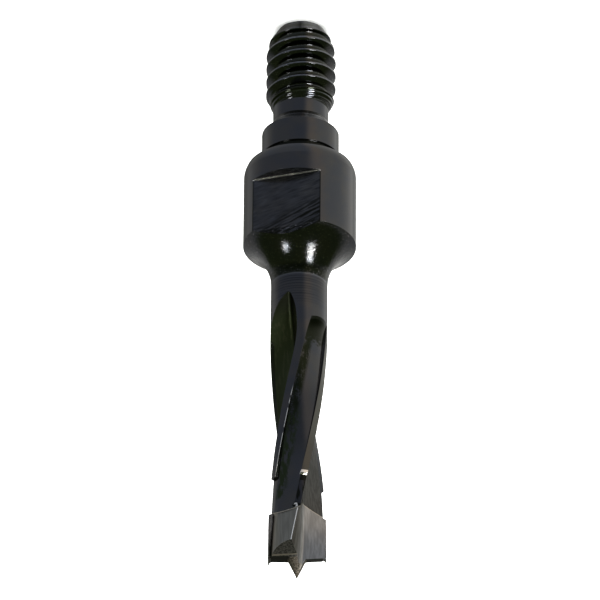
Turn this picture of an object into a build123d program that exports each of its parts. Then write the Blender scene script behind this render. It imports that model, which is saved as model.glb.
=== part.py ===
from build123d import *
from math import asin, cos, degrees, radians, sin, sqrt, tan
import os

os.makedirs("parts", exist_ok=True)

# Dowel drill for a boring head, standing on the end of its threaded shank with the point up.
# Lengths are in millimetres and angles in degrees. Z runs along the drill's axis.

# Threaded end that screws into the spindle
thread_diameter = 10.0
thread_length = 13.2
thread_pitch = 2.18
thread_depth = 1.0
thread_crest = 0.27
thread_root = 0.5
thread_start_depth = 3.42

# Rounded nose and back of the thread
nose_diameter = 6.8
nose_length = 2.0
nose_rise = 1.2
nose_taper_length = 2.2
thread_back_length = 2.2

# Relief groove behind the thread, with a cone on its pilot side
groove_diameter = 7.92
groove_length = 3.8
groove_cone_length = 1.65
groove_cone_rise = 0.87

# Pilot that centres the drill in the spindle, and the relief groove between it and the collar
pilot_diameter = 11.0
pilot_length = 4.0
pilot_lead_length = 0.3
pilot_relief_length = 2.0
pilot_relief_depth = 0.25
pilot_relief_corner = 0.3

# Collar with one wrench flat
collar_diameter = 16.0
collar_length = 12.6
collar_edge_depth = 0.43
collar_edge_length = 1.6
flat_distance = 6.25
flat_offset = 4.3

# Flare from the collar down to the shaft: how steeply it leaves the collar, and its curve's handles
flare_length = 6.3
flare_lip_angle = 25.0
flare_handle = 2.7

# Shaft, from the flare to the centre point
drill_diameter = 8.0
drill_reach = 46.3

# Helix shared by the flutes, the lands and the head
helix_lead = 123.0
first_edge_angle = 0.7
land_width = 86.0

# Flutes, measured back from the centre point
flute_full_reach = 33.5
flute_wheel_radius = 16.5
flute_corner_radius = 0.6
flute_corner_offset = 0.5
flute_lift_angle = 46.0
web_thickness = 0.9

# Relieved channel between the margin at a land's leading edge and the one at its heel
channel_start = 16.2
channel_end = 72.0
channel_full_reach = 35.8
channel_edge_radius = 3.62
channel_middle_radius = 3.5

# Steel turned down behind the head
step_reach = 14.5
step_diameter = 7.2

# Carbide head, seated in a vee across the shaft
head_diameter = 8.04
head_land_width = 82.0
seat_reach = 11.7
seat_vee_angle = 105.6
braze_thickness = 0.12

# End form of the head, measured back from the centre point
point_half_angle = 24.5
thinning_reach = 2.1
edge_inner_reach = 2.75
edge_outer_reach = 2.9
spur_reach = 2.2
spur_width = 0.62
primary_clearance = 9.0
primary_width = 1.5
secondary_clearance = 28.5

# Working allowances of the cutters
overrun = 1.0
wheel_room = 7.0
channel_floor_room = 0.1
head_relief_overlap = 8.0

# Levels along the axis
thread_top = thread_length
groove_top = thread_top + groove_length
relief_bottom = groove_top + pilot_length
pilot_top = relief_bottom + pilot_relief_length
collar_top = pilot_top + collar_length
flare_top = collar_top + flare_length
point_level = flare_top + drill_reach
step_level = point_level - step_reach
seat_level = point_level - seat_reach

# Radii of the turned surfaces
thread_radius = thread_diameter / 2
groove_radius = groove_diameter / 2
pilot_radius = pilot_diameter / 2
collar_radius = collar_diameter / 2
shaft_radius = drill_diameter / 2
step_radius = step_diameter / 2
head_radius = head_diameter / 2

# The rake face stands half the web ahead of the axis, so the edge leads the section's X axis
rake_lead = degrees(asin(web_thickness / 2 / shaft_radius))
seat_slope = 1 / tan(radians(seat_vee_angle / 2))
seat_rim_level = seat_level + head_radius * seat_slope


def edge_angle(reach):
    """Direction of the first land's leading edge at a distance back from the point."""
    return first_edge_angle - 360 * reach / helix_lead


def section_plane(reach):
    """Cross-section plane whose X axis is parallel to the first land's rake face."""
    angle = radians(edge_angle(reach) - rake_lead)
    return Plane(
        origin=(0, 0, point_level - reach),
        x_dir=(cos(angle), sin(angle), 0),
        z_dir=(0, 0, 1),
    )


def wheel_lift(reach, full_reach):
    """How far a grinding wheel has climbed out of its groove past the full depth."""
    climb = max(reach - full_reach, 0)
    return flute_wheel_radius - sqrt(flute_wheel_radius**2 - climb**2)


def polar(radius, angle):
    """Point of a section at a radius and an angle from its X axis."""
    return Vector(radius * cos(radians(angle)), radius * sin(radians(angle)))


def stations(full_reach, runout, spans, runout_spans):
    """Distances back from the point at which a cutter's section is drawn."""
    straight = [-overrun + (full_reach + overrun) * i / spans for i in range(spans)]
    climbing = [full_reach + runout * i / runout_spans for i in range(runout_spans + 1)]
    return straight + climbing


def flute_outline(lift, depth_share, width):
    """Section of one flute: the far end of the heel flank, the root corner and the rake side."""
    heel = polar(shaft_radius, rake_lead + 180 - width)
    root = Vector(flute_corner_offset, web_thickness / 2) * depth_share
    flank = (heel - root).normalized()
    corner = root + polar(lift, flute_lift_angle)
    rake_end = corner + Vector(wheel_room, 0)
    flank_end = corner + flank * wheel_room
    return [flank_end, corner, rake_end, Vector(rake_end.X, flank_end.Y)]


def channel_outline(lift, end_angle):
    """Section of a land's channel: three points of its floor, then the corners of the open side."""
    middle_angle = (channel_start + end_angle) / 2
    floor_start = polar(channel_edge_radius, rake_lead - channel_start) + lift
    floor_middle = polar(channel_middle_radius, rake_lead - middle_angle) + lift
    floor_end = polar(channel_edge_radius, rake_lead - end_angle) + lift
    outer_start = polar(shaft_radius + 2 * overrun, rake_lead - channel_start) + lift
    outer_end = polar(shaft_radius + 2 * overrun, rake_lead - end_angle) + lift
    return [floor_start, floor_middle, floor_end], [floor_end, outer_end, outer_start, floor_start]


def vee_outline(level):
    """Everything above a vee whose bottom is at a level, seen along the vee."""
    rim = level + wheel_room * seat_slope
    return [(0, level), (wheel_room, rim), (wheel_room, point_level + overrun),
            (-wheel_room, point_level + overrun), (-wheel_room, rim)]


# Path of the wheel that grinds one flute, with its run-out towards the collar
flute_depth = shaft_radius + flute_corner_radius
flute_runout = sqrt(2 * flute_wheel_radius * flute_depth - flute_depth**2)
with BuildPart() as flute_cutter:
    for reach in stations(flute_full_reach, flute_runout, 8, 5):
        outline = flute_outline(wheel_lift(reach, flute_full_reach), 1, land_width)
        with BuildSketch(section_plane(reach)):
            with BuildLine() as flute_line:
                Polyline(*outline, close=True)
                fillet(flute_line.vertices().sort_by_distance(outline[1])[0], flute_corner_radius)
            make_face()
    loft()

# Flute of the head, whose lands are a little narrower than the shaft's
head_reaches = (-overrun, seat_reach / 2, seat_reach + overrun)
with BuildPart() as head_flute_cutter:
    for reach in head_reaches:
        outline = flute_outline(0, 1, head_land_width)
        with BuildSketch(section_plane(reach)):
            with BuildLine() as flute_line:
                Polyline(*outline, close=True)
                fillet(flute_line.vertices().sort_by_distance(outline[1])[0], flute_corner_radius)
            make_face()
    loft()

# The same wheel path closing in on the axis, which thins the web to nothing at the point
with BuildPart() as thinning_cutter:
    for reach in (thinning_reach, -overrun):
        outline = flute_outline(0, reach / thinning_reach, head_land_width)
        with BuildSketch(section_plane(reach)):
            with BuildLine() as flute_line:
                Polyline(*outline, close=True)
                fillet(flute_line.vertices().sort_by_distance(outline[1])[0], flute_corner_radius)
            make_face()
    loft(ruled=True)

# Path of the wheel that grinds the channel between a land's two margins
channel_middle = (channel_start + channel_end) / 2
channel_depth = shaft_radius - channel_middle_radius + channel_floor_room
channel_runout = sqrt(2 * flute_wheel_radius * channel_depth - channel_depth**2)
with BuildPart() as channel_cutter:
    for reach in stations(channel_full_reach, channel_runout, 8, 3):
        lift = polar(wheel_lift(reach, channel_full_reach), rake_lead - channel_middle)
        floor, wall = channel_outline(lift, channel_end)
        with BuildSketch(section_plane(reach)):
            with BuildLine():
                ThreePointArc(*floor)
                Polyline(*wall)
            make_face()
    loft()

# The head has no margin at its heel: its channel goes on past the end of the land
with BuildPart() as head_relief:
    for reach in head_reaches:
        floor, wall = channel_outline(Vector(0, 0), head_land_width + head_relief_overlap)
        with BuildSketch(section_plane(reach)):
            with BuildLine():
                ThreePointArc(*floor)
                Polyline(*wall)
            make_face()
    loft()

# Space that the head and its braze take in the shaft: all above the vee
vee_angle = radians(edge_angle(seat_reach) - land_width / 2 + 90)
vee_plane = Plane(
    origin=(0, 0, 0),
    x_dir=(-sin(vee_angle), cos(vee_angle), 0),
    z_dir=(cos(vee_angle), sin(vee_angle), 0),
)
with BuildPart() as seat_space:
    with BuildSketch(vee_plane):
        Polygon(*vee_outline(seat_level), align=None)
    extrude(amount=wheel_room, both=True)

braze_rise = braze_thickness * sqrt(1 + seat_slope**2)
with BuildPart() as head_space:
    with BuildSketch(vee_plane):
        Polygon(*vee_outline(seat_level + braze_rise), align=None)
    extrude(amount=wheel_room, both=True)

# Groove of the thread, started before the end face and run out into the relief groove
thread_root_radius = thread_radius - thread_depth
thread_gap = thread_pitch - thread_crest
gap_slope = (thread_gap - thread_root) / 2 / thread_depth
mouth_gap = thread_gap + thread_crest / 2
mouth_radius = thread_radius + thread_crest / 4 / gap_slope
with BuildPart() as thread_cutter:
    with BuildLine() as thread_path:
        Helix(pitch=thread_pitch, height=thread_top + thread_start_depth + thread_pitch / 2,
              radius=thread_root_radius, center=(0, 0, -thread_start_depth))
    path = thread_path.line
    with BuildSketch(Plane(origin=path @ 0, x_dir=(1, 0, 0), z_dir=path % 0)):
        Polygon((0, -thread_root / 2), (mouth_radius - thread_root_radius, -mouth_gap / 2),
                (mouth_radius - thread_root_radius, mouth_gap / 2), (0, thread_root / 2), align=None)
    sweep(path=path, is_frenet=True)

# Steel body: one bar, threaded, turned, milled and fluted
nose_radius = nose_diameter / 2
nose_top = nose_length + nose_taper_length
waste_radius = thread_radius + overrun
cone_bottom = groove_top - groove_cone_length
shoulder_radius = groove_radius + groove_cone_rise
relief_radius = pilot_radius - pilot_relief_depth
with BuildPart() as steel_body:
    with BuildSketch(Plane.XY):
        Circle(thread_radius)
    extrude(amount=groove_top)
    add(thread_cutter.part, mode=Mode.SUBTRACT)
    with BuildSketch(Plane.XZ):
        Polygon((groove_radius, thread_top), (thread_radius, thread_top - thread_back_length),
                (waste_radius, thread_top - thread_back_length), (waste_radius, groove_top + overrun),
                (groove_radius, groove_top + overrun), align=None)
        Polygon((nose_radius, 0), (nose_radius + nose_rise, nose_length), (thread_radius, nose_top),
                (waste_radius, nose_top), (waste_radius, -overrun), (nose_radius, -overrun), align=None)
    revolve(axis=Axis.Z, mode=Mode.SUBTRACT)
    with BuildSketch(Plane.XZ):
        with BuildLine():
            Polyline((0, cone_bottom), (groove_radius, cone_bottom), (shoulder_radius, groove_top),
                     (pilot_radius, groove_top + pilot_lead_length), (pilot_radius, relief_bottom),
                     (relief_radius, relief_bottom), (relief_radius, pilot_top - pilot_relief_corner),
                     (relief_radius + pilot_relief_corner, pilot_top),
                     (collar_radius - collar_edge_depth, pilot_top))
            TangentArc((collar_radius, pilot_top + collar_edge_length),
                       (collar_radius - collar_edge_depth, pilot_top), tangent=(0, -1))
            Line((collar_radius, pilot_top + collar_edge_length), (collar_radius, collar_top))
            Bezier((collar_radius, collar_top),
                   (collar_radius - flare_handle * cos(radians(flare_lip_angle)),
                    collar_top + flare_handle * sin(radians(flare_lip_angle))),
                   (shaft_radius, flare_top - flare_handle), (shaft_radius, flare_top))
            Polyline((shaft_radius, flare_top), (shaft_radius, step_level), (step_radius, step_level),
                     (step_radius, seat_rim_level), (0, seat_rim_level), (0, cone_bottom))
        make_face()
    revolve(axis=Axis.Z)
    flat_length = flare_top - pilot_top - flat_offset
    with Locations((0, -flat_distance, pilot_top + flat_offset)):
        Box(collar_diameter, collar_radius, flat_length, mode=Mode.SUBTRACT,
            align=(Align.CENTER, Align.MAX, Align.MIN))
    add(seat_space.part, mode=Mode.SUBTRACT)
    with PolarLocations(0, 2):
        add(flute_cutter.part, mode=Mode.SUBTRACT)
        add(channel_cutter.part, mode=Mode.SUBTRACT)
steel_body.part.label = "steel_body"
export_step(steel_body.part, "parts/steel_body.step")

# Film of braze between the vee and the head
with BuildPart() as braze_joint:
    with BuildSketch(Plane.XY.offset(seat_level)):
        Circle(step_radius)
    extrude(amount=seat_rim_level - seat_level)
    add(seat_space.part, mode=Mode.INTERSECT)
    add(head_space.part, mode=Mode.SUBTRACT)
    with PolarLocations(0, 2):
        add(flute_cutter.part, mode=Mode.SUBTRACT)
braze_joint.part.label = "braze_joint"
export_step(braze_joint.part, "parts/braze_joint.step")

# End form of one wing: the cutting edge and its spur, ground obliquely so that the end falls away
# behind the edge, with a conical point left standing in the middle
edge_heading = radians(edge_angle(edge_outer_reach) - rake_lead)
edge_out = Vector(cos(edge_heading), sin(edge_heading), 0)
edge_back = Vector(sin(edge_heading), -cos(edge_heading), 0)
spur_root_radius = head_radius - spur_width
edge_slope = (edge_outer_reach - edge_inner_reach) / spur_root_radius
point_height = edge_outer_reach + head_radius
point_base_radius = edge_inner_reach * tan(radians(point_half_angle))


def end_plane(rise):
    """Plane of the rake face, raised by a distance, its normal pointing behind the cutting edge."""
    origin = Vector(0, 0, point_level + rise) - edge_back * (web_thickness / 2)
    return Plane(origin=origin, x_dir=edge_out, z_dir=edge_back)


def clearance_direction(angle):
    """Direction behind the cutting edge, falling towards the shank by a clearance angle."""
    return edge_back - Vector(0, 0, tan(radians(angle)))


clearance_rise = (tan(radians(secondary_clearance)) - tan(radians(primary_clearance))) * primary_width
with BuildPart() as end_cutter:
    for rise, angle, inner_end in ((0, primary_clearance, -point_base_radius / 2),
                                   (clearance_rise, secondary_clearance, -head_radius / 2)):
        inner_reach = edge_inner_reach + edge_slope * inner_end
        with BuildSketch(end_plane(rise)):
            with BuildLine():
                Line((inner_end, -inner_reach), (spur_root_radius, -edge_outer_reach))
                Spline((spur_root_radius, -edge_outer_reach), (head_radius, -spur_reach),
                       tangents=[(1, 0), (0.35, 1)])
                Polyline((head_radius, -spur_reach), (head_radius + overrun, -spur_reach + 3 * overrun),
                         (head_radius + overrun, 3 * overrun), (inner_end, 3 * overrun),
                         (inner_end, -inner_reach))
            make_face()
        extrude(amount=wheel_room, dir=clearance_direction(angle), both=True)
    with Locations((0, 0, point_level)):
        Cone(point_height * tan(radians(point_half_angle)), 0, point_height, mode=Mode.SUBTRACT,
             align=(Align.CENTER, Align.CENTER, Align.MAX))

# Carbide head: a plug seated in the vee, fluted and relieved with the shaft, then ground on its end
with BuildPart() as carbide_head:
    with BuildSketch(Plane.XY.offset(seat_level)):
        Circle(head_radius)
    extrude(amount=seat_reach)
    add(head_space.part, mode=Mode.INTERSECT)
    with PolarLocations(0, 2):
        add(head_flute_cutter.part, mode=Mode.SUBTRACT)
        add(head_relief.part, mode=Mode.SUBTRACT)
        add(end_cutter.part, mode=Mode.SUBTRACT)
        add(thinning_cutter.part, mode=Mode.SUBTRACT)
carbide_head.part.label = "carbide_head"
export_step(carbide_head.part, "parts/carbide_head.step")

for piece in (steel_body.part, braze_joint.part, carbide_head.part):
    size = piece.bounding_box().size
    print(f"{piece.label}: {size.X:.2f} x {size.Y:.2f} x {size.Z:.2f} mm, {piece.volume:.1f} cubic mm")
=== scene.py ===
# %% [markdown]
# # A dowel drill, from threaded shank to carbide point
# A dowel drill is one bar of blackened steel with a carbide head brazed into its end. Its solids
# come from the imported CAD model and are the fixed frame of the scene. They already have the
# thread, the collar, the flutes and the ground head, so nothing is modelled again here: this
# script gives them their finish, and then lays a floor and sets up the camera, the room and the
# lamps. The drill stands on the end of its thread, and levels are heights above that end.

# %% Load the frame
import math

import bpy
from mathutils import Matrix, Vector


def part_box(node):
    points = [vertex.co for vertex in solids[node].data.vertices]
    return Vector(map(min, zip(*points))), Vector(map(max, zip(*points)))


MILLIMETRES = 1000
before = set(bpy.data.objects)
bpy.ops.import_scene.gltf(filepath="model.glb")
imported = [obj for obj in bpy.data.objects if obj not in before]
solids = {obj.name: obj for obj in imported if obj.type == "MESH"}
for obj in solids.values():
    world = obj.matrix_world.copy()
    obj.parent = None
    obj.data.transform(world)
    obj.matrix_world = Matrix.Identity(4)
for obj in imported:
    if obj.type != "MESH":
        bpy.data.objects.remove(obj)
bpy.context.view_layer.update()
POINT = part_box("carbide_head")[1].z * MILLIMETRES
print("solids:", sorted(solids))
print("the point stands", round(POINT, 1), "mm above the end of the thread")

# %% [markdown]
# ## Short calls for nodes
# A finish can be painted on an image, or worked out from the place on the object. An image would
# have to be stretched over the thread and the flutes, and it blurs close by. So every finish here
# is worked out, by a chain of small nodes. Such a chain is long to write, and this class has one
# short call for each kind of node.


# %% Make the helper for nodes
class NodeTree:
    """Short calls that add nodes to one tree."""

    def __init__(self, tree):
        self.nodes = tree.nodes
        self.links = tree.links

    def node(self, kind, settings=(), **inputs):
        """A node with its settings, and its inputs linked to a socket or set to a value."""
        made = self.nodes.new(kind)
        for key, value in dict(settings).items():
            setattr(made, key, value)
        for key, value in inputs.items():
            self.feed(made.inputs[key.replace("_", " ")], value)
        return made

    def feed(self, socket, value):
        """Links a socket to another one, or sets it to a number, a colour or a place."""
        if isinstance(value, bpy.types.NodeSocket):
            self.links.new(value, socket)
        elif socket.type == "RGBA":
            socket.default_value = (*value, 1)
        else:
            socket.default_value = value

    def sum(self, operation, *values):
        """One step of arithmetic on numbers."""
        made = self.node("ShaderNodeMath", {"operation": operation})
        for socket, value in zip(made.inputs, values):
            self.feed(socket, value)
        return made.outputs[0]

    def vector(self, operation, *values, **inputs):
        """One step of arithmetic on places or directions."""
        made = self.node("ShaderNodeVectorMath", {"operation": operation}, **inputs)
        for socket, value in zip(made.inputs, values):
            self.feed(socket, value)
        return made.outputs["Value" if operation == "DOT_PRODUCT" else "Vector"]

    def mix(self, share, first, second):
        """A colour between two others; the Mix node keeps its colours at sockets 6, 7 and 2."""
        made = self.node("ShaderNodeMix", {"data_type": "RGBA"})
        share_socket, first_socket, second_socket = made.inputs[0], made.inputs[6], made.inputs[7]
        self.feed(share_socket, share)
        self.feed(first_socket, first)
        self.feed(second_socket, second)
        return made.outputs[2]


def calls_of(helper):
    """The names of a helper's own short calls."""
    return ", ".join(name for name in vars(helper) if not name.startswith("_"))


print("short calls:", calls_of(NodeTree))

# %% [markdown]
# ### Masks, noise and coats
# A mask is 1 inside a region and 0 outside it, with a soft step between. Masks multiplied give
# the place where all of them hold. A coat covers the colour so far where its masks hold, as paint
# would, so the coats are laid in the order of the work. Masks could also be painted on the mesh's
# corners, but then each would be only as sharp as the mesh is fine.


# %% Make the helper for coats
class Coating(NodeTree):
    """Masks, noise, and coats of colour one over another."""

    def rise(self, value, low, high):
        """0 below low, 1 above high and a soft step between them."""
        made = self.node("ShaderNodeMapRange", {"interpolation_type": "SMOOTHSTEP"}, Value=value,
                         From_Min=low, From_Max=high)
        return made.outputs["Result"]

    def band(self, value, start, end, soft):
        """1 from start to end, with soft shoulders."""
        up = self.rise(value, start - soft, start + soft)
        down = self.rise(value, end - soft, end + soft)
        return self.sum("SUBTRACT", up, down)

    def both(self, *masks):
        """Where every mask holds."""
        held = masks[0]
        for mask in masks[1:]:
            held = self.sum("MULTIPLY", held, mask)
        return held

    def either(self, first, second):
        """Where one of two masks holds."""
        return self.sum("MAXIMUM", first, second)

    def noise(self, place, scale, detail, stretch=(1, 1, 1)):
        """Even noise from 0 to 1; a small stretch along an axis draws streaks along it."""
        stretched = self.vector("MULTIPLY", place, stretch)
        made = self.node("ShaderNodeTexNoise", Vector=stretched, Scale=scale, Detail=detail)
        return made.outputs["Fac"]

    def ground(self, color):
        """The colour that lies under every coat."""
        self.color = color
        self.coats = 0

    def coat(self, color, *masks):
        """A coat over the colour so far, where every mask holds."""
        self.color = self.mix(self.both(*masks), self.color, color)
        self.coats += 1


print("calls for coats:", calls_of(Coating))

# %% [markdown]
# ### A finish that knows its place
# All three finishes are metals: the shader's colour is the share of the light that they reflect.
# Each finish needs the place on the drill, and how far a face looks up. The solids share one
# frame, so Object coordinates measure all of them alike. They are turned into millimetres, in
# which a drill is drawn.


# %% Make the helper for a finish
class Finish(Coating):
    """One metal finish, with the place on the drill in millimetres."""

    def __init__(self, name, roughness):
        self.material = bpy.data.materials.new(name)
        self.material.use_nodes = True
        super().__init__(self.material.node_tree)
        self.shader = self.nodes["Principled BSDF"]
        self.shader.inputs["Metallic"].default_value = 1.0
        self.shader.inputs["Roughness"].default_value = roughness
        place = self.node("ShaderNodeTexCoord").outputs["Object"]
        self.place = self.vector("SCALE", place, Scale=MILLIMETRES)
        self.x, self.y, self.z = self.node("ShaderNodeSeparateXYZ", Vector=self.place).outputs
        normal = self.node("ShaderNodeNewGeometry").outputs["True Normal"]
        self.facing_up = self.node("ShaderNodeSeparateXYZ", Vector=normal).outputs["Z"]

    def levels(self, low, high, soft=0.04):
        """Between two heights."""
        return self.band(self.z, low, high, soft)

    def paint(self, solid):
        """Gives the shader its colour, and puts the finish on a solid's one material slot."""
        self.feed(self.shader.inputs["Base Color"], self.color)
        mesh = solids[solid].data
        mesh.materials.clear()
        mesh.materials.append(self.material)
        print(self.material.name, "on", solid, "has", self.coats, "coats and", len(self.nodes),
              "nodes")


print("calls of a finish:", calls_of(Finish))

# %% [markdown]
# ### Where a spot lies on a land
# The lands are the two ribs between the flutes, and they wind up the drill. Each has a margin at
# its cutting edge, a relieved channel behind it, and a second margin at its heel. The angle from
# the cutting edge back to a spot tells on which of them it is. It is the edge's own angle at that
# height less the spot's angle, wrapped to half a turn, because the second land is the first one
# turned round.

# %% Find the place behind the cutting edges
HELIX_LEAD = 123.0
EDGE_ANGLE_AT_POINT = 0.7
HALF_TURN = 180.0


def land_place(finish):
    """Distance from the axis in millimetres, and angle behind a cutting edge in degrees."""
    x_squared = finish.sum("MULTIPLY", finish.x, finish.x)
    squares = finish.sum("MULTIPLY_ADD", finish.y, finish.y, x_squared)
    turn = finish.sum("DEGREES", finish.sum("ARCTAN2", finish.y, finish.x))
    reach = finish.sum("SUBTRACT", POINT, finish.z)
    edge = finish.sum("MULTIPLY_ADD", reach, -360 / HELIX_LEAD, EDGE_ANGLE_AT_POINT)
    behind = finish.sum("WRAP", finish.sum("SUBTRACT", edge, turn), HALF_TURN, 0.0)
    return finish.sum("SQRT", squares), behind


print("a cutting edge turns once in", HELIX_LEAD, "mm")

# %% [markdown]
# ## Blackened steel
# The bar is turned, milled and fluted, and then blackened in a hot bath. The oxide is thin and
# dense: it reflects about a twentieth of the light, evenly and with a satin gloss. Black paint
# would be simpler, but paint also scatters light and would look grey and soft. A metal with a
# very dark colour reflects as the oxide does, and its edges turn pale at a grazing angle. Soot,
# grit, stains and the ragged edges of painted shade come from noise of a few sizes, which all
# regions of the bar share.

# %% Start the steel
SATIN = 0.18
steel = Finish("blackened_steel", roughness=SATIN)
radius, lag = land_place(steel)
spots = steel.noise(steel.place, scale=4.5, detail=3)
grit = steel.noise(steel.place, scale=6.5, detail=3)
pits = steel.noise(steel.place, scale=2.4, detail=4)
mottle = steel.noise(steel.place, scale=1.6, detail=4, stretch=(1, 1, 0.35))
cloud = steel.noise(steel.place, scale=0.35, detail=3)
print("the steel starts with", len(steel.nodes), "nodes")

# %% [markdown]
# ### Plain oxide
# The plain oxide lies under every other coat. One flat colour would look like paint, so its grey
# drifts towards blue in patches a few millimetres wide, as the thickness of real oxide does. More
# colours come back in many places: a near black for soot and for painted shade, a rough dark one
# for painted shade where a wheel ran out, a pale grey for painted highlight lines, and bare
# steel, where the oxide is gone, which also serves as a painted highlight.

# %% Lay the plain oxide
OXIDE_BLUE = (0.046, 0.049, 0.055)
OXIDE_GREY = (0.054, 0.054, 0.054)
# Dark colours for soot and painted shade; pale ones for bare steel and painted highlights.
SOOT_AND_SHADE = (0.010, 0.011, 0.009)
RUN_OUT_SHADE = (0.015, 0.017, 0.011)
PALE_HIGHLIGHT_LINE = (0.11, 0.115, 0.125)
BARE_STEEL_AND_HIGHLIGHT = (0.62, 0.60, 0.56)
steel.ground(steel.mix(steel.rise(cloud, 0.35, 0.65), OXIDE_BLUE, OXIDE_GREY))
print("the oxide drifts from", OXIDE_BLUE, "to", OXIDE_GREY)

# %% [markdown]
# ### Thread
# The crests rub in the spindle, so their oxide is worn to a pale line, which is also a painted
# highlight. The root and the flank that faces down are painted dark, as painted shade. A pale
# ring could be laid at each crest, but a thread is one line that climbs. So height and angle are
# added up in turns, from where a root starts. The fraction that is left over says where a spot
# lies: 0 in a root, 0.5 on the crest, 1 in the next root.

# %% Coat the thread
THREAD_PITCH = 2.18
THREAD_START = -3.42
THREAD_TOP = 13.2
THREAD_FOOT = 0.6
WEAR_FOOT = 1.2
LOWER_FLANK_SHARE = 0.43
CREST_SHARES = (0.45, 0.56)
ROOT_SHARE = 0.955
CREST_RADII = (4.30, 4.40)
THREAD_SHADE = (0.026, 0.029, 0.022)
WORN_SPOT = (0.20, 0.20, 0.20)
turns_round = steel.sum("MULTIPLY", steel.sum("ARCTAN2", steel.y, steel.x), -0.5 / math.pi)
turns_up = steel.sum("MULTIPLY_ADD", steel.z, 1 / THREAD_PITCH, -THREAD_START / THREAD_PITCH)
turn_share = steel.sum("FRACT", steel.sum("ADD", turns_up, turns_round))
in_root = steel.sum("GREATER_THAN", turn_share, ROOT_SHARE)
to_crest = steel.sum("LESS_THAN", turn_share, LOWER_FLANK_SHARE)
crest_line = steel.band(turn_share, *CREST_SHARES, soft=0.012)
on_thread = steel.levels(THREAD_FOOT, THREAD_TOP, soft=0.2)
full_turns = steel.levels(WEAR_FOOT, THREAD_TOP - 0.7, soft=0.3)
full_height = steel.rise(radius, *CREST_RADII)

steel.coat(WORN_SPOT, on_thread, steel.rise(grit, 0.63, 0.68))
# painted shade in the root and on the flank that faces down
steel.coat(THREAD_SHADE, on_thread, steel.either(to_crest, in_root))
# worn crest line, which is also a painted highlight
steel.coat(PALE_HIGHLIGHT_LINE, full_turns, crest_line, full_height, steel.rise(spots, 0.25, 0.50))
print("the thread makes about", round(THREAD_TOP / THREAD_PITCH), "turns")

# %% [markdown]
# ### Cone and grooves
# Behind the thread the bar is turned down to a groove, from which a cone leads to the pilot. A
# second groove parts the pilot from the collar. The corner at the foot of the cone and the second
# groove are darkened with painted shade, the cone is a darker grey, and a fine pale line on the
# cone is a painted highlight. All of them are turned, so plain bands of height are enough.

# %% Coat the cone and the grooves
PILOT_BOTTOM = 17.0
PILOT_TOP = 21.0
COLLAR_BOTTOM = 23.0
CONE_EDGE = PILOT_BOTTOM - 1.65
CONE_SHADE_TOP = CONE_EDGE + 0.55
CONE_OXIDE = (0.024, 0.026, 0.029)
# painted shade at the foot of the cone
steel.coat(SOOT_AND_SHADE, steel.levels(CONE_EDGE - 0.05, CONE_SHADE_TOP))
steel.coat(CONE_OXIDE, steel.levels(CONE_SHADE_TOP, PILOT_BOTTOM - 0.1))
# a painted highlight line on the cone
steel.coat(PALE_HIGHLIGHT_LINE, steel.levels(CONE_SHADE_TOP + 0.05, CONE_SHADE_TOP + 0.21))
# painted shade in the groove before the collar
steel.coat(SOOT_AND_SHADE, steel.levels(PILOT_TOP + 0.05, COLLAR_BOTTOM - 0.05))
print("the pilot is", PILOT_TOP - PILOT_BOTTOM, "mm long")

# %% [markdown]
# ### Scores of the wrench flat
# The flat on the collar is milled, and the cutter leaves scores across it. Most are fine and lean
# by 15 degrees; some near the flare are deep and lean more. They are thinner than a hair, too
# fine to cut into the mesh. Noise that is stretched along one direction draws them, and for that
# the place is first turned until its first axis runs along the scores.


# %% Draw the scores
def slanted(angle):
    """The place on the flat, turned by an angle, and its height across the scores."""
    slope = math.radians(angle)
    along = steel.sum("ADD", steel.sum("MULTIPLY", steel.x, math.cos(slope)),
                      steel.sum("MULTIPLY", steel.z, math.sin(slope)))
    across = steel.sum("ADD", steel.sum("MULTIPLY", steel.z, math.cos(slope)),
                       steel.sum("MULTIPLY", steel.x, -math.sin(slope)))
    return steel.node("ShaderNodeCombineXYZ", X=along, Z=across).outputs[0], across


FINE_SLANT = 15
DEEP_SLANT = 24
ALONG_SCORES = (0.07, 1, 1)
fine_place, _ = slanted(FINE_SLANT)
deep_place, deep_across = slanted(DEEP_SLANT)
fine_scores = steel.noise(fine_place, scale=7.0, detail=4, stretch=ALONG_SCORES)
deep_scores = steel.noise(deep_place, scale=2.8, detail=3, stretch=ALONG_SCORES)
print("scores lean by", FINE_SLANT, "and", DEEP_SLANT, "degrees")

# %% [markdown]
# ### Wrench flat
# Some scores are darker than the oxide beside them and some are paler, so three steps of the same
# noise are coated. Both sides of the flat are darkened with painted shade. At the flat's foot
# stands the wall that the cutter's corner left. It is rough and painted dark, with a few painted
# glints, and its lip has a burr, drawn as one thin painted highlight.

# %% Coat the flat
FLAT_DISTANCE = 6.25
FLAT_HALF_WIDTH = 4.9
FLAT_BOTTOM = 27.3
FLARE_TOP = 41.9
WALL_FACING = (0.5, 0.9)
DEEP_SCORES_START = (29.5, 32.0)
DULL_SCORE = (0.034, 0.036, 0.040)
DARK_SCORE = (0.020, 0.021, 0.023)
PALE_SCORE = (0.066, 0.070, 0.076)
WALL_GLINT = (0.30, 0.30, 0.26)
on_flat = steel.both(steel.band(steel.y, -FLAT_DISTANCE - 0.03, -FLAT_DISTANCE + 0.03, soft=0.01),
                     steel.levels(FLAT_BOTTOM, FLARE_TOP))
flat_wall = steel.both(steel.levels(FLAT_BOTTOM - 0.04, FLAT_BOTTOM + 0.04, soft=0.01),
                       steel.rise(steel.facing_up, *WALL_FACING))
pale_score = steel.sum("SUBTRACT", 1.0, steel.rise(fine_scores, 0.36, 0.42))
deep_score = steel.both(steel.rise(deep_across, *DEEP_SCORES_START),
                        steel.rise(deep_scores, 0.46, 0.53))
flat_side = steel.rise(steel.sum("ABSOLUTE", steel.x), FLAT_HALF_WIDTH - 0.04,
                       FLAT_HALF_WIDTH + 0.02)

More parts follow.
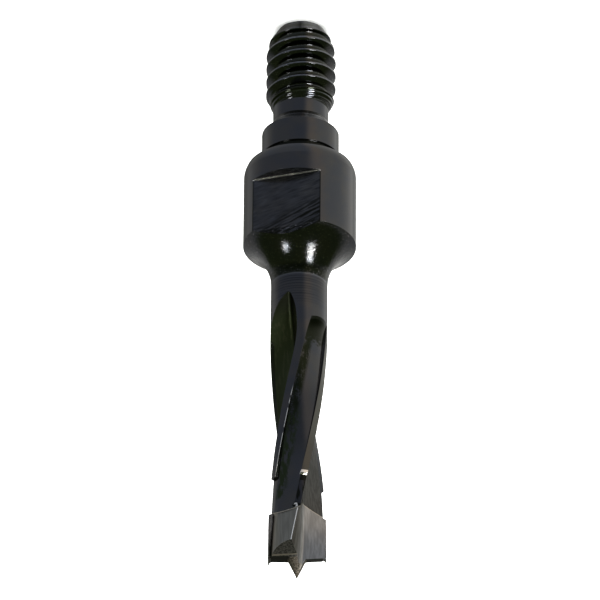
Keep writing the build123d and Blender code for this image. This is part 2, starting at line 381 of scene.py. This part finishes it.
steel.coat(DULL_SCORE, on_flat, steel.rise(fine_scores, 0.48, 0.56))
steel.coat(DARK_SCORE, on_flat, steel.rise(fine_scores, 0.60, 0.66))
steel.coat(PALE_SCORE, on_flat, pale_score)
steel.coat(SOOT_AND_SHADE, on_flat, deep_score)
# painted shade along both sides of the flat
steel.coat(SOOT_AND_SHADE, on_flat, flat_side)
# painted highlight on the burr at the flat's lip
steel.coat(BARE_STEEL_AND_HIGHLIGHT, on_flat, steel.levels(FLAT_BOTTOM, FLAT_BOTTOM + 0.13))
steel.coat(SOOT_AND_SHADE, flat_wall, steel.rise(spots, 0.28, 0.5))
# painted glints on the wall
steel.coat(WALL_GLINT, flat_wall, steel.rise(grit, 0.60, 0.66))
print("the flat stands", FLAT_DISTANCE, "mm from the axis")

# %% [markdown]
# ### Flare
# The flare leads from the collar to the shaft in one hollow curve. It mirrors the room like a
# dark spoon, and needs little colour of its own: painted shade at its foot, some painted glints
# on its grit, and a pale painted highlight line where the turned shaft begins.

# %% Coat the flare
COLLAR_TOP = 35.6
FLARE_FOOT_SHADE = (0.010, 0.0125, 0.007)
FLARE_GLINT = (0.36, 0.34, 0.36)
on_flare = steel.levels(COLLAR_TOP, FLARE_TOP, soft=0.1)
above_foot = steel.rise(steel.z, FLARE_TOP - 1.9, FLARE_TOP - 0.9)
# painted shade at the flare's foot
steel.coat(FLARE_FOOT_SHADE, above_foot, steel.levels(COLLAR_TOP, FLARE_TOP - 0.10))
# painted glints
steel.coat(FLARE_GLINT, on_flare, steel.rise(grit, 0.65, 0.70))
# painted highlight line where the shaft begins
steel.coat(PALE_HIGHLIGHT_LINE, steel.levels(FLARE_TOP - 0.02, FLARE_TOP + 0.18, soft=0.03))
print("the flare is", round(FLARE_TOP - COLLAR_TOP, 1), "mm high")

# %% [markdown]
# ### Rings of the lathe
# Next to the flare the lathe's feed shows as fine rings, and farther on they fade out. A sine of
# the height draws even rings. Noise that hardly changes round the bar, added inside the sine,
# brings them nearer together in one place and farther apart in another, as on a real bar.

# %% Coat the rings
FEED = 0.42
RING_SHIFT = 5.0
RINGS_END = FLARE_TOP + 4.6
RING_SHADE = (0.026, 0.028, 0.032)
rings = steel.noise(steel.place, scale=4.5, detail=2, stretch=(0.02, 0.02, 1))
ring_shift = steel.sum("MULTIPLY", rings, RING_SHIFT)
ring_phase = steel.sum("MULTIPLY_ADD", steel.z, 2 * math.pi / FEED, ring_shift)
feed_marks = steel.sum("MULTIPLY_ADD", steel.sum("SINE", ring_phase), 0.5, 0.5)
steel.coat(RING_SHADE, steel.levels(FLARE_TOP + 0.1, RINGS_END, soft=0.8),
           steel.rise(feed_marks, 0.50, 0.90))
print("about", round((RINGS_END - FLARE_TOP) / FEED), "rings")

# %% [markdown]
# ### Flutes
# A wheel grinds the flutes. Away from the head they are painted darker and greener than the
# oxide, with olive streaks along them, as painted shade in their hollows. Near the flare, where
# the wheel ran out, the painted shade is darker still. Near the head they are a plain grey. The
# floor of a flute is found by its distance from the axis, and the place where the wheel ran out
# by its angle and by facing up.

# %% Coat the flutes
FLUTE_FLOOR = 3.40
SEAT = 79
RUN_OUT_TOP = 56
RUN_OUT_ANGLES = (92, 178)
RUN_OUT_FACING = (0.08, 0.16)
NEAR_FLARE_TOP = 47.5
FLUTE_GREY_LEVELS = (63.0, 68.0)
FLUTE_SHADE_GREEN = (0.032, 0.039, 0.020)
FLUTE_SHADE_OLIVE = (0.045, 0.049, 0.028)
GREY_STEEL = (0.044, 0.044, 0.041)
PALE_GREY_STEEL = (0.060, 0.060, 0.056)
run_out = steel.both(steel.levels(FLARE_TOP + 0.4, RUN_OUT_TOP, soft=0.2),
                     steel.band(lag, *RUN_OUT_ANGLES, soft=1.5),
                     steel.rise(steel.facing_up, *RUN_OUT_FACING))
flute_floor = steel.both(steel.levels(FLARE_TOP + 0.5, SEAT, soft=0.2),
                         steel.sum("LESS_THAN", radius, FLUTE_FLOOR))
in_flute = steel.either(run_out, flute_floor)
near_head = steel.rise(steel.z, *FLUTE_GREY_LEVELS)
near_flare = steel.levels(FLARE_TOP, NEAR_FLARE_TOP, soft=1.5)
stains = steel.noise(steel.place, scale=2.6, detail=3, stretch=(1, 1, 0.07))
streaks = steel.noise(steel.place, scale=5.0, detail=3, stretch=(1, 1, 0.1))

# painted shade in the flutes, green with olive streaks
flute_shade_color = steel.mix(steel.rise(stains, 0.50, 0.66), FLUTE_SHADE_GREEN, FLUTE_SHADE_OLIVE)
plain_flute_grey = steel.mix(steel.rise(streaks, 0.4, 0.6), GREY_STEEL, PALE_GREY_STEEL)
flute_shade_color = steel.mix(near_head, flute_shade_color, plain_flute_grey)
# darker painted shade near the flare, where the wheel ran out
steel.coat(steel.mix(near_flare, flute_shade_color, RUN_OUT_SHADE), in_flute)
print("the flutes run from", FLARE_TOP + 0.5, "to", SEAT, "mm")

# %% [markdown]
# ### Channels
# Behind each margin the land is ground lower, so that it doesn't rub in the hole. Between 59.5
# and 70 mm the channel is painted darker, as painted shade. It starts in a dark cap with a ragged
# end, painted shade where it runs out. A dark band follows the margin, the painted shadow of the
# margin's wall, and patches of green oxide lie near the head. The cap, the band and the patches
# have ragged edges, so noise is added to the mask before its step.

# %% Coat the channels
MARGIN_END = 16.2
CHANNEL_END = 72.0
CHANNEL_LEVELS = (47.5, 77)
CHANNEL_RADII = (3.44, 3.90)
SHADED_LEVELS = (59.5, 70.0)
CAP_END = 52.6
CAP_SLOPE = 0.30
BAND_LEVELS = (52, 67)
BAND_END = 36
MOSS_BOTTOM = 64
MOSS_END = 44
SHADED_CHANNEL = (0.036, 0.038, 0.042)
MARGIN_SHADOW = (0.011, 0.014, 0.008)
MOSS_OXIDE = (0.022, 0.030, 0.015)
in_channel = steel.both(steel.levels(*CHANNEL_LEVELS, soft=0.2),
                        steel.band(radius, *CHANNEL_RADII, soft=0.03),
                        steel.band(lag, MARGIN_END - 1, CHANNEL_END, soft=1.0))
cap_height = steel.sum("MULTIPLY_ADD", steel.z, -CAP_SLOPE, CAP_SLOPE * CAP_END)
ragged_cap = steel.rise(steel.sum("MULTIPLY_ADD", pits, 1.4, cap_height), 0.60, 0.85)
margin_shadow_place = steel.both(steel.levels(*BAND_LEVELS, soft=1.5),
                        steel.band(lag, MARGIN_END - 2, BAND_END, soft=5.0))
moss_place = steel.both(steel.levels(MOSS_BOTTOM, SEAT, soft=1.5),
                        steel.band(lag, MARGIN_END - 2, MOSS_END, soft=9.0))
band_patches = steel.rise(steel.sum("ADD", mottle, grit), 0.78, 0.95)
moss_patches = steel.rise(steel.sum("MULTIPLY_ADD", grit, 0.5, mottle), 0.70, 0.80)

# painted shade on the channel between these heights
steel.coat(SHADED_CHANNEL, in_channel, steel.levels(*SHADED_LEVELS, soft=2.5))
# painted shade in the cap where the channel runs out
steel.coat(RUN_OUT_SHADE, in_channel, ragged_cap)
# painted shadow behind the margin
steel.coat(MARGIN_SHADOW, in_channel, margin_shadow_place, band_patches)
steel.coat(MOSS_OXIDE, in_channel, moss_place, moss_patches)
print("a channel is", round(CHANNEL_END - MARGIN_END), "degrees wide")

# %% [markdown]
# ### Margins
# Only the margins touch the wall of the hole. The cutting margin's rear edge has lost its oxide
# in a broken line. The heel margin is brown-grey from rubbing, with painted shade on its part
# nearer the point, and it ends in a step, whose end face has a painted highlight. The stub beyond
# the step is lower, painted dark and mottled, with painted shade in the corners at its two ends.
# Each is found by its angle and by how far out it stands.

# %% Coat the margins
SHAFT_RADIUS = 4.0
LAND_END = 86.0
STEP = 73.7
BARE_EDGE_BOTTOM = 60.5
HEEL_BOTTOM = 48
HEEL_SHADE_LEVELS = (66.0, 70.0)
STEP_FACE_RADII = (3.55, 3.6)
HEEL_OXIDE = (0.080, 0.080, 0.070)
HEEL_SHADE = (0.058, 0.057, 0.050)
STUB_OXIDE = (0.032, 0.033, 0.038)
outer_skin = steel.rise(radius, SHAFT_RADIUS - 0.08, SHAFT_RADIUS - 0.04)
margin_edge = steel.both(steel.levels(BARE_EDGE_BOTTOM, STEP, soft=0.8), outer_skin,
                         steel.band(lag, MARGIN_END - 1.5, MARGIN_END, soft=0.3))
at_heel = steel.band(lag, CHANNEL_END - 1, LAND_END + 2, soft=1.0)
heel_margin = steel.both(steel.levels(HEEL_BOTTOM, STEP), outer_skin, at_heel)
heel_stub = steel.both(steel.levels(STEP + 0.1, SEAT),
                       steel.band(lag, CHANNEL_END + 1, LAND_END + 2, soft=1.0))
stub_color = steel.mix(steel.rise(mottle, 0.45, 0.6), SOOT_AND_SHADE, STUB_OXIDE)
stub_ends = steel.either(steel.levels(STEP, STEP + 1), steel.levels(SEAT - 0.7, SEAT + 1))

steel.coat(BARE_STEEL_AND_HIGHLIGHT, margin_edge, steel.rise(mottle, 0.42, 0.50))
steel.coat(HEEL_OXIDE, heel_margin)
# painted shade on the heel margin nearer the point
steel.coat(HEEL_SHADE, heel_margin, steel.rise(steel.z, *HEEL_SHADE_LEVELS))
steel.coat(stub_color, heel_stub)
# painted shade in the corners at the stub's ends
steel.coat(SOOT_AND_SHADE, heel_stub, stub_ends)
# painted highlight on the end face of the step
steel.coat(BARE_STEEL_AND_HIGHLIGHT, steel.levels(STEP - 0.45, STEP + 0.1),
           steel.rise(radius, *STEP_FACE_RADII), at_heel)
print("the heel margin ends", round(POINT - STEP, 1), "mm behind the point")

# %% [markdown]
# ### Bead of braze
# A drop of braze has run out at the corner of the head's seat. It is drawn as a bright crescent,
# a painted highlight, with painted shade round it. A tiny solid could be set there, but the drop
# is flat and smaller than a pinhead. So it is a coat: a bright disc on a larger dark one, with a
# dark spot of painted shade over its side. Noise added to the distance makes the discs uneven.

# %% Coat the bead
ARC_OF_DEGREE = 0.063
LAND_FOOT_RADIUS = 3.42
BEAD_PLACE = (76.0, 78.55)
BEAD_SHADE_PLACE = (73.6, 78.66)
BEAD_SHADE_RING_RADIUS = 0.42
BEAD_RADIUS = 0.30
BEAD_SHADE_RADIUS = 0.20


def away_from(behind, level):
    """Distance in millimetres along the land from a spot at an angle and a level."""
    aside = steel.sum("MULTIPLY", steel.sum("SUBTRACT", lag, behind), ARC_OF_DEGREE)
    rise = steel.sum("SUBTRACT", steel.z, level)
    squares = steel.sum("MULTIPLY_ADD", rise, rise, steel.sum("MULTIPLY", aside, aside))
    off_land = steel.sum("LESS_THAN", radius, LAND_FOOT_RADIUS)
    return steel.sum("ADD", steel.sum("SQRT", squares), off_land)


unevenness = steel.sum("MULTIPLY_ADD", pits, 0.5, -0.25)
bead = steel.sum("ADD", away_from(*BEAD_PLACE), unevenness)
bead_shade = steel.sum("ADD", away_from(*BEAD_SHADE_PLACE), unevenness)
# painted shade round the bead
steel.coat(SOOT_AND_SHADE, steel.sum("LESS_THAN", bead, BEAD_SHADE_RING_RADIUS))
# painted highlight on the bead
steel.coat(BARE_STEEL_AND_HIGHLIGHT, steel.sum("LESS_THAN", bead, BEAD_RADIUS))
# painted shade over the bead's side
steel.coat(SOOT_AND_SHADE, steel.sum("LESS_THAN", bead_shade, BEAD_SHADE_RADIUS))
print("coats over the oxide:", steel.coats)

# %% [markdown]
# ### Marks of the tools
# The lathe, the milling cutter and the bath all leave marks in the skin, at most a few hundredths
# of a millimetre deep. They could be cut into the mesh, but it would need millions of faces. A
# bump tilts only the light. Each mark is a height map with its depth, in steps of 0.004 mm, and
# the depths are added up. The last one is the row of fine ridges where the thread runs out.

# %% Add up the tool marks
THREAD_BACK = 11.0
ridges = steel.sum("SINE", steel.sum("MULTIPLY", turn_share, 8 * math.pi))
marks = (
    (0.1, rings),
    (0.25, grit),
    (1.4, steel.levels(FLARE_TOP - 0.2, RINGS_END, soft=0.5), feed_marks),
    (9.0, on_flare, pits),
    (1.0, on_flare, grit),
    (1.6, on_flat, fine_scores),
    (6.0, flat_wall, spots),
    (7.0, steel.levels(THREAD_BACK, THREAD_TOP, soft=0.1), ridges),
)
height = 0.0
for depth, *masks in marks:
    height = steel.sum("MULTIPLY_ADD", steel.both(*masks), depth, height)
print("kinds of tool marks:", len(marks))

# %% [markdown]
# ### Rounded edges
# No real edge is quite sharp, and the hair-thin round of it catches the light. The solids' edges
# are sharp. The Bevel node rounds them in the light alone: a little everywhere, more on the
# thread's crests and most in its roots.

# %% Round the edges
EDGE_ROUNDING = 0.04 / MILLIMETRES
CREST_ROUNDING = 0.14 / MILLIMETRES
ROOT_ROUNDING = 0.22 / MILLIMETRES
THREAD_MIDDLE_RADIUS = 4.6
near_root = steel.sum("LESS_THAN", radius, THREAD_MIDDLE_RADIUS)
extra = steel.sum("MULTIPLY_ADD", near_root, ROOT_ROUNDING - CREST_ROUNDING,
                  CREST_ROUNDING - EDGE_ROUNDING)
whole_thread = steel.levels(0, THREAD_TOP)
rounding = steel.sum("MULTIPLY_ADD", whole_thread, extra, EDGE_ROUNDING)
edges = steel.node("ShaderNodeBevel", {"samples": 8}, Radius=rounding)
print("edges are rounded by up to", ROOT_ROUNDING * MILLIMETRES, "mm")

# %% [markdown]
# ### Gloss
# The oxide has a satin gloss. The flutes are duller, because the wheel left them rough, and the
# thread and the flare are glossier. With the gloss, the marks and the edges in place, the finish
# goes on the bar.

# %% Finish the steel
MARK_DEPTH = 0.004 / MILLIMETRES
roughness_changes = ((in_flute, 0.22), (whole_thread, -0.07), (on_flare, -0.05))
roughness = SATIN
for region, change in roughness_changes:
    roughness = steel.sum("MULTIPLY_ADD", region, change, roughness)
steel.feed(steel.shader.inputs["Roughness"], roughness)
bump = steel.node("ShaderNodeBump", Height=height, Strength=1.0, Distance=MARK_DEPTH,
                  Normal=edges.outputs[0])
steel.feed(steel.shader.inputs["Normal"], bump.outputs[0])
steel.paint("steel_body")

# %% [markdown]
# ## Ground carbide
# The head is tungsten carbide. It isn't blackened but ground all over with diamond wheels, so it
# is a mid grey metal. Its sides are ground along the drill and are streaky. Its end was ground
# with a coarser wheel: it is darker and mottled. One noise for each of the two does this, long
# streaks for the sides and short ones across for the end.

# %% Find the faces of the head
SIDE_ROUGHNESS = 0.34
HEAD_LAND_END = 82.0
RAKE_ANGLES = (100, 182)
RAKE_FOOT_ANGLES = (98, 126)
RAKE_HOLLOW_ANGLES = (130, 152)
FLANK_END = 88
MARGIN_WALL_END = 17.5
BEHIND_MARGIN_END = 32
MARGIN_WALL_RADII = (3.40, 3.50)
HEEL_EDGE_RADII = (3.45, 3.5)
POINT_RADIUS = 1.30
RIM_TOP = POINT - 3.13
RIM_BOTTOM = POINT - 3.25
carbide = Finish("ground_carbide", roughness=SIDE_ROUGHNESS)
head_radius, head_lag = land_place(carbide)
side_noise = carbide.noise(carbide.place, scale=3.0, detail=4, stretch=(1, 1, 0.12))
end_noise = carbide.noise(carbide.place, scale=4.0, detail=4, stretch=(1, 1, 3))
side_streaks = carbide.rise(side_noise, 0.35, 0.7)
end_marks = carbide.rise(end_noise, 0.42, 0.60)
on_end = carbide.rise(carbide.facing_up, 0.15, 0.35)
on_level_end = carbide.rise(carbide.facing_up, 0.93, 0.97)
on_rake = carbide.band(head_lag, *RAKE_ANGLES, soft=4)
rake_foot = carbide.band(head_lag, *RAKE_FOOT_ANGLES, soft=4)
rake_hollow = carbide.band(head_lag, *RAKE_HOLLOW_ANGLES, soft=4)
on_flank = carbide.band(head_lag, HEAD_LAND_END + 0.6, FLANK_END, soft=1)
heel_edge = carbide.both(
    carbide.band(head_lag, HEAD_LAND_END - 0.8, HEAD_LAND_END + 0.8, soft=0.3),
    carbide.rise(head_radius, *HEEL_EDGE_RADII))
behind_margin = carbide.band(head_lag, MARGIN_WALL_END, BEHIND_MARGIN_END, soft=3)
margin_wall = carbide.both(carbide.band(head_lag, -1, MARGIN_WALL_END, soft=0.5),
                           carbide.rise(head_radius, *MARGIN_WALL_RADII))
on_rim = carbide.both(carbide.levels(RIM_BOTTOM, RIM_TOP, soft=0.03), on_end)
on_point = carbide.both(carbide.sum("LESS_THAN", head_radius, POINT_RADIUS), on_end)
print("the head starts with", len(carbide.nodes), "nodes")

# %% [markdown]
# ### Greys of the head
# Each ground face has its own pair of greys, because each wheel cuts at its own angle, and the
# streaks or marks choose between the two. The rake face is painted darker in its hollow, and the
# flank dark, both as painted shade. The heel's edge is freshly ground and sharp, and it carries a
# painted highlight. The wall of the margin and the level end lie in shade and are nearly black.

# %% Coat the head
LAND_GREYS = ((0.145, 0.142, 0.128), (0.190, 0.187, 0.170))
RAKE_GREYS = ((0.175, 0.174, 0.168), (0.245, 0.244, 0.238))
RAKE_FOOT_GREYS = ((0.250, 0.248, 0.240), (0.320, 0.318, 0.310))
RAKE_HOLLOW_SHADE_GREYS = ((0.140, 0.139, 0.134), (0.200, 0.199, 0.193))
END_GREYS = ((0.038, 0.036, 0.032), (0.110, 0.105, 0.096))
POINT_GREYS = ((0.060, 0.050, 0.040), (0.20, 0.175, 0.145))
FLANK_SHADE = (0.075, 0.068, 0.058)
HEEL_EDGE_HIGHLIGHT = (1.0, 0.98, 0.95)
BEHIND_MARGIN_GREY = (0.20, 0.19, 0.165)
WALL_SHADE = (0.012, 0.012, 0.012)
END_SHADE = (0.017, 0.018, 0.0135)
RIM_GREY = (0.20, 0.18, 0.15)

carbide.ground(carbide.mix(side_streaks, *LAND_GREYS))
carbide.coat(carbide.mix(side_streaks, *RAKE_GREYS), on_rake)
carbide.coat(carbide.mix(side_streaks, *RAKE_FOOT_GREYS), rake_foot)
# painted shade in the rake's hollow
carbide.coat(carbide.mix(side_streaks, *RAKE_HOLLOW_SHADE_GREYS), rake_hollow)
# painted shade on the flank
carbide.coat(FLANK_SHADE, on_flank)
# painted highlight on the heel's edge
carbide.coat(HEEL_EDGE_HIGHLIGHT, heel_edge)
carbide.coat(BEHIND_MARGIN_GREY, behind_margin)
carbide.coat(WALL_SHADE, margin_wall)
carbide.coat(carbide.mix(end_marks, *END_GREYS), on_end)
carbide.coat(END_SHADE, on_level_end)
carbide.coat(RIM_GREY, on_rim)
carbide.coat(carbide.mix(end_marks, *POINT_GREYS), on_point)
print("greys on the head:", carbide.coats + 1)

# %% [markdown]
# ### Grain of the head
# Close by, ground carbide has a fine grain along the wheel's path. It is a bump, over edges that
# are rounded like the steel's. The coarse wheel left the end twice as rough as the sides.

# %% Finish the head
GRAIN_DEPTH = 0.01 / MILLIMETRES
grain = carbide.noise(carbide.place, scale=12.0, detail=3, stretch=(1, 1, 0.25))
head_edges = carbide.node("ShaderNodeBevel", {"samples": 4}, Radius=EDGE_ROUNDING)
head_bump = carbide.node("ShaderNodeBump", Height=grain, Strength=0.4, Distance=GRAIN_DEPTH,
                         Normal=head_edges.outputs[0])
carbide.feed(carbide.shader.inputs["Normal"], head_bump.outputs[0])
carbide.feed(carbide.shader.inputs["Roughness"],
             carbide.sum("MULTIPLY_ADD", on_end, SIDE_ROUGHNESS, SIDE_ROUGHNESS))
carbide.paint("carbide_head")

# %% [markdown]
# ## Braze
# Silver braze holds the head in the shaft's vee. Only a hair-thin line of it shows, slightly
# yellow and unevenly melted. The line is too thin for bumps or marks to be seen, so a soft drift
# between two greys is enough.

# %% Finish the braze
DULL_BRAZE = (0.16, 0.15, 0.13)
PALE_BRAZE = (0.42, 0.39, 0.33)
braze = Finish("braze", roughness=0.35)
melt = braze.noise(braze.place, scale=4.0, detail=3)
braze.ground(braze.mix(melt, DULL_BRAZE, PALE_BRAZE))
braze.paint("braze_joint")

# %% [markdown]
# ## Floor
# A pale floor under the thread's end face catches a soft shadow. A flat plane would show its edge
# from a low view, so the floor is a wide shallow dish, flat under the drill and rising far away.
# The steel would mirror all of it and turn grey, so the floor is left out of the reflections, as
# a photographer hides it with black card.


# %% Lay the floor
def make_floor(flat_radius, outer_radius, rise, rings_out, sectors):
    """A round floor, flat in the middle, that rises smoothly towards its rim."""
    points = [(0.0, 0.0, 0.0)]
    for ring in range(1, rings_out + 1):
        reach_out = outer_radius * ring / rings_out
        share = max(0.0, (reach_out - flat_radius) / (outer_radius - flat_radius))
        level = rise * share**2
        for sector in range(sectors):
            angle = 2 * math.pi * sector / sectors
            points.append((reach_out * math.cos(angle), reach_out * math.sin(angle), level))
    faces = [(0, 1 + s, 1 + (s + 1) % sectors) for s in range(sectors)]
    for ring in range(rings_out - 1):
        inner = 1 + ring * sectors
        outer = inner + sectors
        for s in range(sectors):
            t = (s + 1) % sectors
            faces.append((inner + s, outer + s, outer + t, inner + t))
    mesh = bpy.data.meshes.new("floor")
    mesh.from_pydata(points, [], faces)
    mesh.shade_smooth()
    made = bpy.data.objects.new("floor", mesh)
    bpy.context.scene.collection.objects.link(made)
    return made


FLOOR_WHITE = (0.92, 0.92, 0.92, 1)
FLOOR_ROUGHNESS = 0.9
floor = make_floor(flat_radius=0.6, outer_radius=3.0, rise=2.6, rings_out=24, sectors=96)
floor_paint = bpy.data.materials.new("floor_paint")
floor_paint.use_nodes = True
floor_shader = floor_paint.node_tree.nodes["Principled BSDF"]
floor_shader.inputs["Base Color"].default_value = FLOOR_WHITE
floor_shader.inputs["Roughness"].default_value = FLOOR_ROUGHNESS
floor.data.materials.append(floor_paint)
floor.visible_glossy = False
print("floor faces:", len(floor.data.polygons))

# %% [markdown]
# ## Camera
# The photograph was taken with a long lens from the point's side, and it shows the drill point
# down. The camera could be turned by three angles, but these are hard to read once it stands on
# its head. So it is built from plain directions: outward to the camera, and right and down in the
# picture.

# %% Name the camera's directions
CAMERA_HEADING = math.radians(252.2)
CAMERA_ELEVATION = math.radians(29.8)
CAMERA_ROLL = math.radians(0.48)
outward = Vector((math.cos(CAMERA_HEADING), math.sin(CAMERA_HEADING), 0))
sideways = Vector((math.sin(CAMERA_HEADING), -math.cos(CAMERA_HEADING), 0))
up = Vector((0, 0, 1))
toward_camera = math.cos(CAMERA_ELEVATION) * outward + math.sin(CAMERA_ELEVATION) * up
level_down = math.cos(CAMERA_ELEVATION) * up - math.sin(CAMERA_ELEVATION) * outward
right = math.cos(CAMERA_ROLL) * sideways - math.sin(CAMERA_ROLL) * level_down
down = math.sin(CAMERA_ROLL) * sideways + math.cos(CAMERA_ROLL) * level_down
print("to the camera:", [round(part, 2) for part in toward_camera])

# %% [markdown]
# ### Lens
# A long lens from far away shows the thread and the point at nearly one scale, as the photograph
# does. Its focal length is counted in pixels of the 600-pixel picture, which is how it was
# measured, and turned into millimetres on the sensor. A shift of less than four pixels brings the
# drill to its place in the frame.

# %% Place the camera
IMAGE_SIDE = 600
FOCAL_PIXELS = 6267
SENSOR_WIDTH = 36
CAMERA_DISTANCE = 0.88
CAMERA_AIM = Vector((0, 0, 0.0436))
PICTURE_RIGHT = -0.85
PICTURE_DOWN = -3.5
lens = bpy.data.cameras.new("camera")
lens.sensor_width = SENSOR_WIDTH
lens.lens = FOCAL_PIXELS / IMAGE_SIDE * SENSOR_WIDTH
lens.shift_x = -PICTURE_RIGHT / IMAGE_SIDE
lens.shift_y = PICTURE_DOWN / IMAGE_SIDE
camera = bpy.data.objects.new("camera", lens)
stand = Matrix.Translation(CAMERA_AIM + CAMERA_DISTANCE * toward_camera)
camera.matrix_world = stand @ Matrix((right, -down, toward_camera)).transposed().to_4x4()
bpy.context.scene.collection.objects.link(camera)
bpy.context.scene.camera = camera
print("lens:", round(lens.lens), "mm")

# %% [markdown]
# ## Room
# A metal shows what surrounds it. The photograph's drill stands in a dim room with a pale
# backdrop behind it and a large soft panel on its right. Walls and cards could be built round
# it, but they would block the view from other sides. So the room is painted on the world, by
# direction: how far round from the camera, and how high.

# %% Measure directions in the room
room = bpy.data.worlds.new("studio")
room.use_nodes = True
bpy.context.scene.world = room
studio = Coating(room.node_tree)
looking = studio.node("ShaderNodeTexCoord").outputs["Generated"]
part_outward = studio.vector("DOT_PRODUCT", looking, tuple(outward))
part_sideways = studio.vector("DOT_PRODUCT", looking, tuple(sideways))
height_up = studio.vector("DOT_PRODUCT", looking, tuple(up))
round_right = studio.sum("DEGREES", studio.sum("ARCTAN2", part_sideways, part_outward))
aside = studio.sum("ABSOLUTE", round_right)
print("the room is measured from", round(math.degrees(CAMERA_HEADING), 1), "degrees")

# %% [markdown]
# ### Walls, panel and backdrop
# The drill's upright sides mirror what lies below the camera's height, so the lower half of the
# room has most of the paint: a blue-grey front, side walls, a dim back, and the panel with its
# warm edge. Faces that look up mirror the upper half, which is dark green in front and pale
# behind.

# %% Paint the room
FRONT_LOW = (0.62, 0.65, 0.72)
FRONT = (0.42, 0.45, 0.52)
SIDE_WALL = (0.56, 0.56, 0.55)
BEHIND = (0.18, 0.18, 0.17)
PANEL_EDGE = (1.20, 1.06, 0.94)
PANEL = (1.10, 1.09, 1.05)
BACKDROP = (0.58, 0.58, 0.56)
DARK_GREEN = (0.11, 0.14, 0.06)
FRONT_HEIGHTS = (-0.68, -0.52)
SIDE_WALL_ANGLES = (80, 112)
BEHIND_ANGLES = (122, 150)
PANEL_EDGE_ANGLES = (21, 60)
PANEL_ANGLES = (50, 140)
BACKDROP_ANGLES = (130, 165)
UPPER_BACKDROP_ANGLES = (118, 140)
UPPER_HALF_HEIGHTS = (-0.36, -0.2)

studio.ground(FRONT_LOW)
studio.coat(FRONT, studio.rise(height_up, *FRONT_HEIGHTS))
studio.coat(SIDE_WALL, studio.rise(aside, *SIDE_WALL_ANGLES))
studio.coat(BEHIND, studio.rise(aside, *BEHIND_ANGLES))
studio.coat(PANEL_EDGE, studio.band(round_right, *PANEL_EDGE_ANGLES, soft=11))
studio.coat(PANEL, studio.band(round_right, *PANEL_ANGLES, soft=12))
studio.coat(BACKDROP, studio.rise(round_right, *BACKDROP_ANGLES))
upper_half = studio.mix(studio.rise(aside, *UPPER_BACKDROP_ANGLES), DARK_GREEN, BACKDROP)
studio.coat(upper_half, studio.rise(height_up, *UPPER_HALF_HEIGHTS))
studio.feed(studio.nodes["Background"].inputs["Color"], studio.color)
print("coats on the room:", studio.coats)

# %% [markdown]
# ## Lamps
# Two soft lamps stand in front, left and right, and give the white sparks on the thread and the
# flare. They could be painted on the world too, but a lamp gives small bright sparks with less
# noise. They are kept off the floor, which has a broad lamp overhead of its own, and that one is
# kept out of the reflections. The Standard view shows colours as they are worked out, while
# Blender's usual one would grey them.


# %% Light the drill and the floor
def make_lamp(name, azimuth, elevation, distance, width, height, power):
    """A soft rectangular lamp aimed at the drill, at an angle round from the camera."""
    data = bpy.data.lights.new(name, "AREA")
    data.shape = "RECTANGLE"
    data.size = width
    data.size_y = height
    data.energy = power
    lamp = bpy.data.objects.new(name, data)
    swing = math.radians(azimuth)
    level = math.radians(elevation)
    flat = math.cos(swing) * outward + math.sin(swing) * sideways
    direction = math.cos(level) * flat + math.sin(level) * up
    lamp.location = CAMERA_AIM + distance * direction
    lamp.rotation_euler = direction.to_track_quat("Z", "Y").to_euler()
    bpy.context.scene.collection.objects.link(lamp)
    print(name, "gives", power, "W")
    return lamp


right_lamp = make_lamp("right_lamp", azimuth=38, elevation=15, distance=0.6, width=0.18,
                       height=0.42, power=4.6)
left_lamp = make_lamp("left_lamp", azimuth=-45, elevation=28, distance=0.6, width=0.13,
                      height=0.15, power=0.9)
floor_lamp = make_lamp("floor_lamp", azimuth=0, elevation=90, distance=1.5, width=2.6,
                       height=2.6, power=110.0)
right_lamp.visible_diffuse = False
left_lamp.visible_diffuse = False
floor_lamp.visible_glossy = False
bpy.context.scene.view_settings.view_transform = "Standard"

# %% [markdown]
